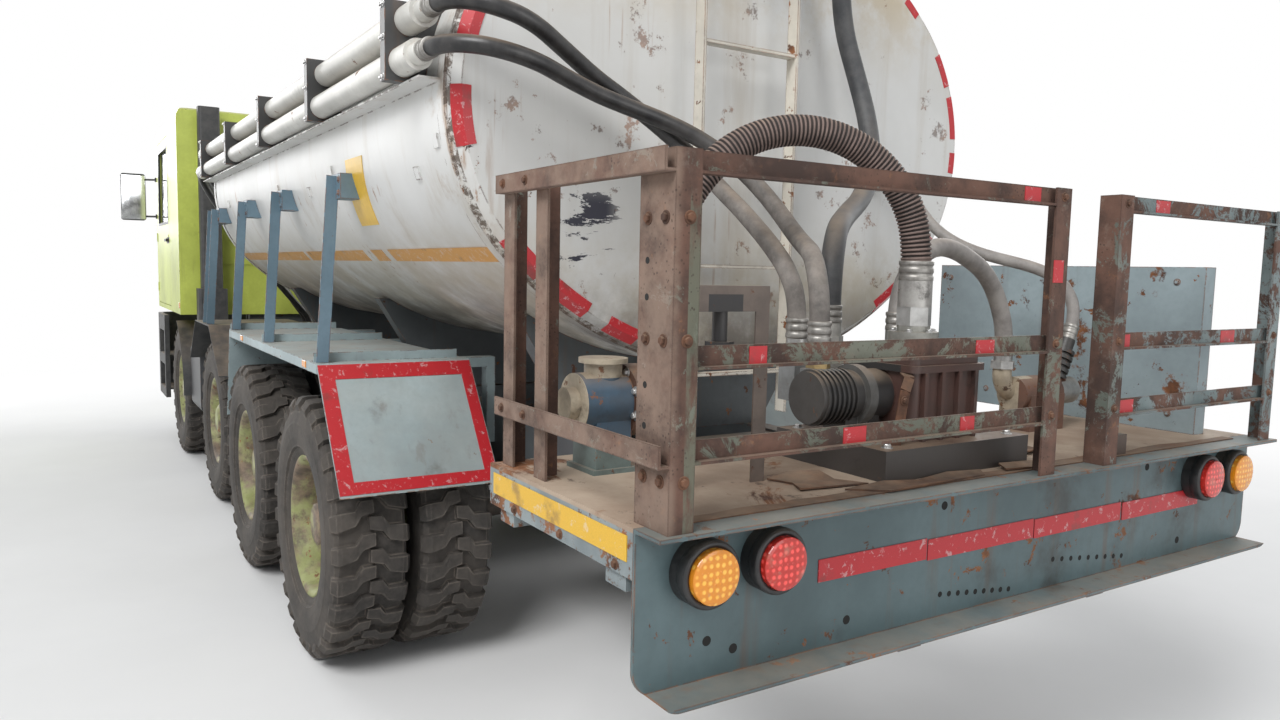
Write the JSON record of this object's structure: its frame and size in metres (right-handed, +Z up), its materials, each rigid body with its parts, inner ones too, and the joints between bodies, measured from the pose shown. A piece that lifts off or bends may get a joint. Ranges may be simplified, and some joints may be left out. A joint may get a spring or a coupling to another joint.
{
  "type": "tanker truck",
  "caption": "Forward-control tanker truck: two steered axles, twin-tyred tandem, oval tank, rear pump platform with guard rails, tilting cab with opening doors.",
  "frame": {"origin": "on the ground, at the middle of the vehicle's length and width", "axes": "+X forward along the longest side, +Y to the vehicle's left, +Z up"},
  "size_m": [9.06, 3.08, 3.264],
  "materials": {
    "tyre": "dusty tyre rubber",
    "rim": "chipped paint",
    "knuckle": "greasy casting",
    "axles": "greasy casting",
    "springs": "rusty spring steel",
    "chassis": "worn paint",
    "drive": "oily casting",
    "side_boxes": "worn paint",
    "tank": "weathered white paint",
    "manhole_lid": "weathered white paint",
    "side_pipes": "weathered white paint",
    "pipe_clamps": "worn black paint",
    "ladder": "chipped white paint",
    "fenders": "chipped grey-blue paint",
    "fender_stays": "chipped grey-blue paint",
    "mudguards": "dusty moulding",
    "rear_deck": "rusted plate",
    "rear_bumper": "chipped grey-blue paint",
    "rear_lamps": "moulded lens",
    "guard_cages": "rusted angle with old paint",
    "side_panel": "chipped grey-blue paint",
    "transfer_pump": "oily casting",
    "valves": "worn casting",
    "hose": "dusty rubber",
    "front_bumper": "dusty moulding",
    "front_lamps": "clear lens",
    "cab": "lime paint",
    "glass": "tinted glass",
    "seats": "woven cover",
    "dashboard": "grained moulding",
    "mirrors": "grained moulding",
    "air_intake": "dusty moulding"
  },
  "bodies": {
    "root": {"air_intake": "air_intake", "axles": "axles", "chassis_frame": "chassis", "delivery_hose_high": "hose", "delivery_hose_low": "hose", "drain_hose": "hose", "engine_and_shafts": "drive", "fender_stays": "fender_stays", "fenders": "fenders", "front_bumper": "front_bumper", "front_hose_high": "hose", "front_hose_low": "hose", "front_lamps": "front_lamps", "guard_cages": "guard_cages", "ladder": "ladder", "leaf_springs": "springs", "loop_hose": "hose", "mudguards": "mudguards", "pipe_clamps": "pipe_clamps", "rear_bumper": "rear_bumper", "rear_deck": "rear_deck", "rear_lamps": "rear_lamps", "roof_hose": "hose", "side_boxes": "side_boxes", "side_panel": "side_panel", "side_pipes": "side_pipes", "suction_hose": "hose", "tank": "tank", "transfer_pump": "transfer_pump", "valves": "valves"},
    "knuckle_front_left": {"knuckle_front_left": "knuckle"},
    "wheel_front_left": {"tyre_front_left": "tyre", "rim_front_left": "rim"},
    "knuckle_front_right": {"knuckle_front_right": "knuckle"},
    "wheel_front_right": {"tyre_front_right": "tyre", "rim_front_right": "rim"},
    "knuckle_second_left": {"knuckle_second_left": "knuckle"},
    "wheel_second_left": {"tyre_second_left": "tyre", "rim_second_left": "rim"},
    "knuckle_second_right": {"knuckle_second_right": "knuckle"},
    "wheel_second_right": {"tyre_second_right": "tyre", "rim_second_right": "rim"},
    "wheels_rear_left": {"tyre_rear_left": "tyre", "rim_rear_left": "rim"},
    "wheels_rear_right": {"tyre_rear_right": "tyre", "rim_rear_right": "rim"},
    "wheels_third_left": {"tyre_third_left": "tyre", "rim_third_left": "rim"},
    "wheels_third_right": {"tyre_third_right": "tyre", "rim_third_right": "rim"},
    "cab": {"cab_shell": "cab", "windscreen": "glass", "cab_seats": "seats", "dashboard": "dashboard", "mirrors": "mirrors"},
    "door_left": {"door_left": "cab", "door_glass_left": "glass"},
    "door_right": {"door_right": "cab", "door_glass_right": "glass"},
    "manhole_lid": {"manhole_lid": "manhole_lid"}
  },
  "joints": [
    {"name": "steer_front_left", "type": "hinge", "parent": "root", "child": "knuckle_front_left", "pos_m": [3.15, 0.88, 0.562], "axis": [0, 0, 1], "range_deg": [-32, 32]},
    {"name": "spin_front_left", "type": "hinge", "parent": "knuckle_front_left", "child": "wheel_front_left", "pos_m": [3.15, 1.04, 0.562], "axis": [0, 1, 0], "continuous": true},
    {"name": "steer_front_right", "type": "hinge", "parent": "root", "child": "knuckle_front_right", "pos_m": [3.15, -0.88, 0.562], "axis": [0, 0, 1], "range_deg": [-32, 32]},
    {"name": "spin_front_right", "type": "hinge", "parent": "knuckle_front_right", "child": "wheel_front_right", "pos_m": [3.15, -1.04, 0.562], "axis": [0, 1, 0], "continuous": true},
    {"name": "steer_second_left", "type": "hinge", "parent": "root", "child": "knuckle_second_left", "pos_m": [1.22, 0.88, 0.562], "axis": [0, 0, 1], "range_deg": [-19.2, 19.2]},
    {"name": "spin_second_left", "type": "hinge", "parent": "knuckle_second_left", "child": "wheel_second_left", "pos_m": [1.22, 1.04, 0.562], "axis": [0, 1, 0], "continuous": true},
    {"name": "steer_second_right", "type": "hinge", "parent": "root", "child": "knuckle_second_right", "pos_m": [1.22, -0.88, 0.562], "axis": [0, 0, 1], "range_deg": [-19.2, 19.2]},
    {"name": "spin_second_right", "type": "hinge", "parent": "knuckle_second_right", "child": "wheel_second_right", "pos_m": [1.22, -1.04, 0.562], "axis": [0, 1, 0], "continuous": true},
    {"name": "spin_rear_left", "type": "hinge", "parent": "root", "child": "wheels_rear_left", "pos_m": [-1.85, 1.112, 0.562], "axis": [0, 1, 0], "continuous": true},
    {"name": "spin_rear_right", "type": "hinge", "parent": "root", "child": "wheels_rear_right", "pos_m": [-1.85, -1.112, 0.562], "axis": [0, 1, 0], "continuous": true},
    {"name": "spin_third_left", "type": "hinge", "parent": "root", "child": "wheels_third_left", "pos_m": [-0.45, 1.112, 0.562], "axis": [0, 1, 0], "continuous": true},
    {"name": "spin_third_right", "type": "hinge", "parent": "root", "child": "wheels_third_right", "pos_m": [-0.45, -1.112, 0.562], "axis": [0, 1, 0], "continuous": true},
    {"name": "cab_tilt", "type": "hinge", "parent": "root", "child": "cab", "pos_m": [4.375, 0, 1.215], "axis": [0, 1, 0], "range_deg": [0, 50]},
    {"name": "door_left_hinge", "type": "hinge", "parent": "cab", "child": "door_left", "pos_m": [4.204, 1.24, 1.75], "axis": [0, 0, -1], "range_deg": [0, 70]},
    {"name": "door_right_hinge", "type": "hinge", "parent": "cab", "child": "door_right", "pos_m": [4.204, -1.24, 1.75], "axis": [0, 0, 1], "range_deg": [0, 70]},
    {"name": "manhole_lid_hinge", "type": "hinge", "parent": "root", "child": "manhole_lid", "pos_m": [-1.445, 0, 3.203], "axis": [0, -1, 0], "range_deg": [0, 110]}
  ],
  "couplings": [
    {"joint": "steer_front_right", "follows": "steer_front_left", "ratio": 1},
    {"joint": "steer_second_left", "follows": "steer_front_left", "ratio": 0.6},
    {"joint": "steer_second_right", "follows": "steer_front_left", "ratio": 0.6}
  ]
}
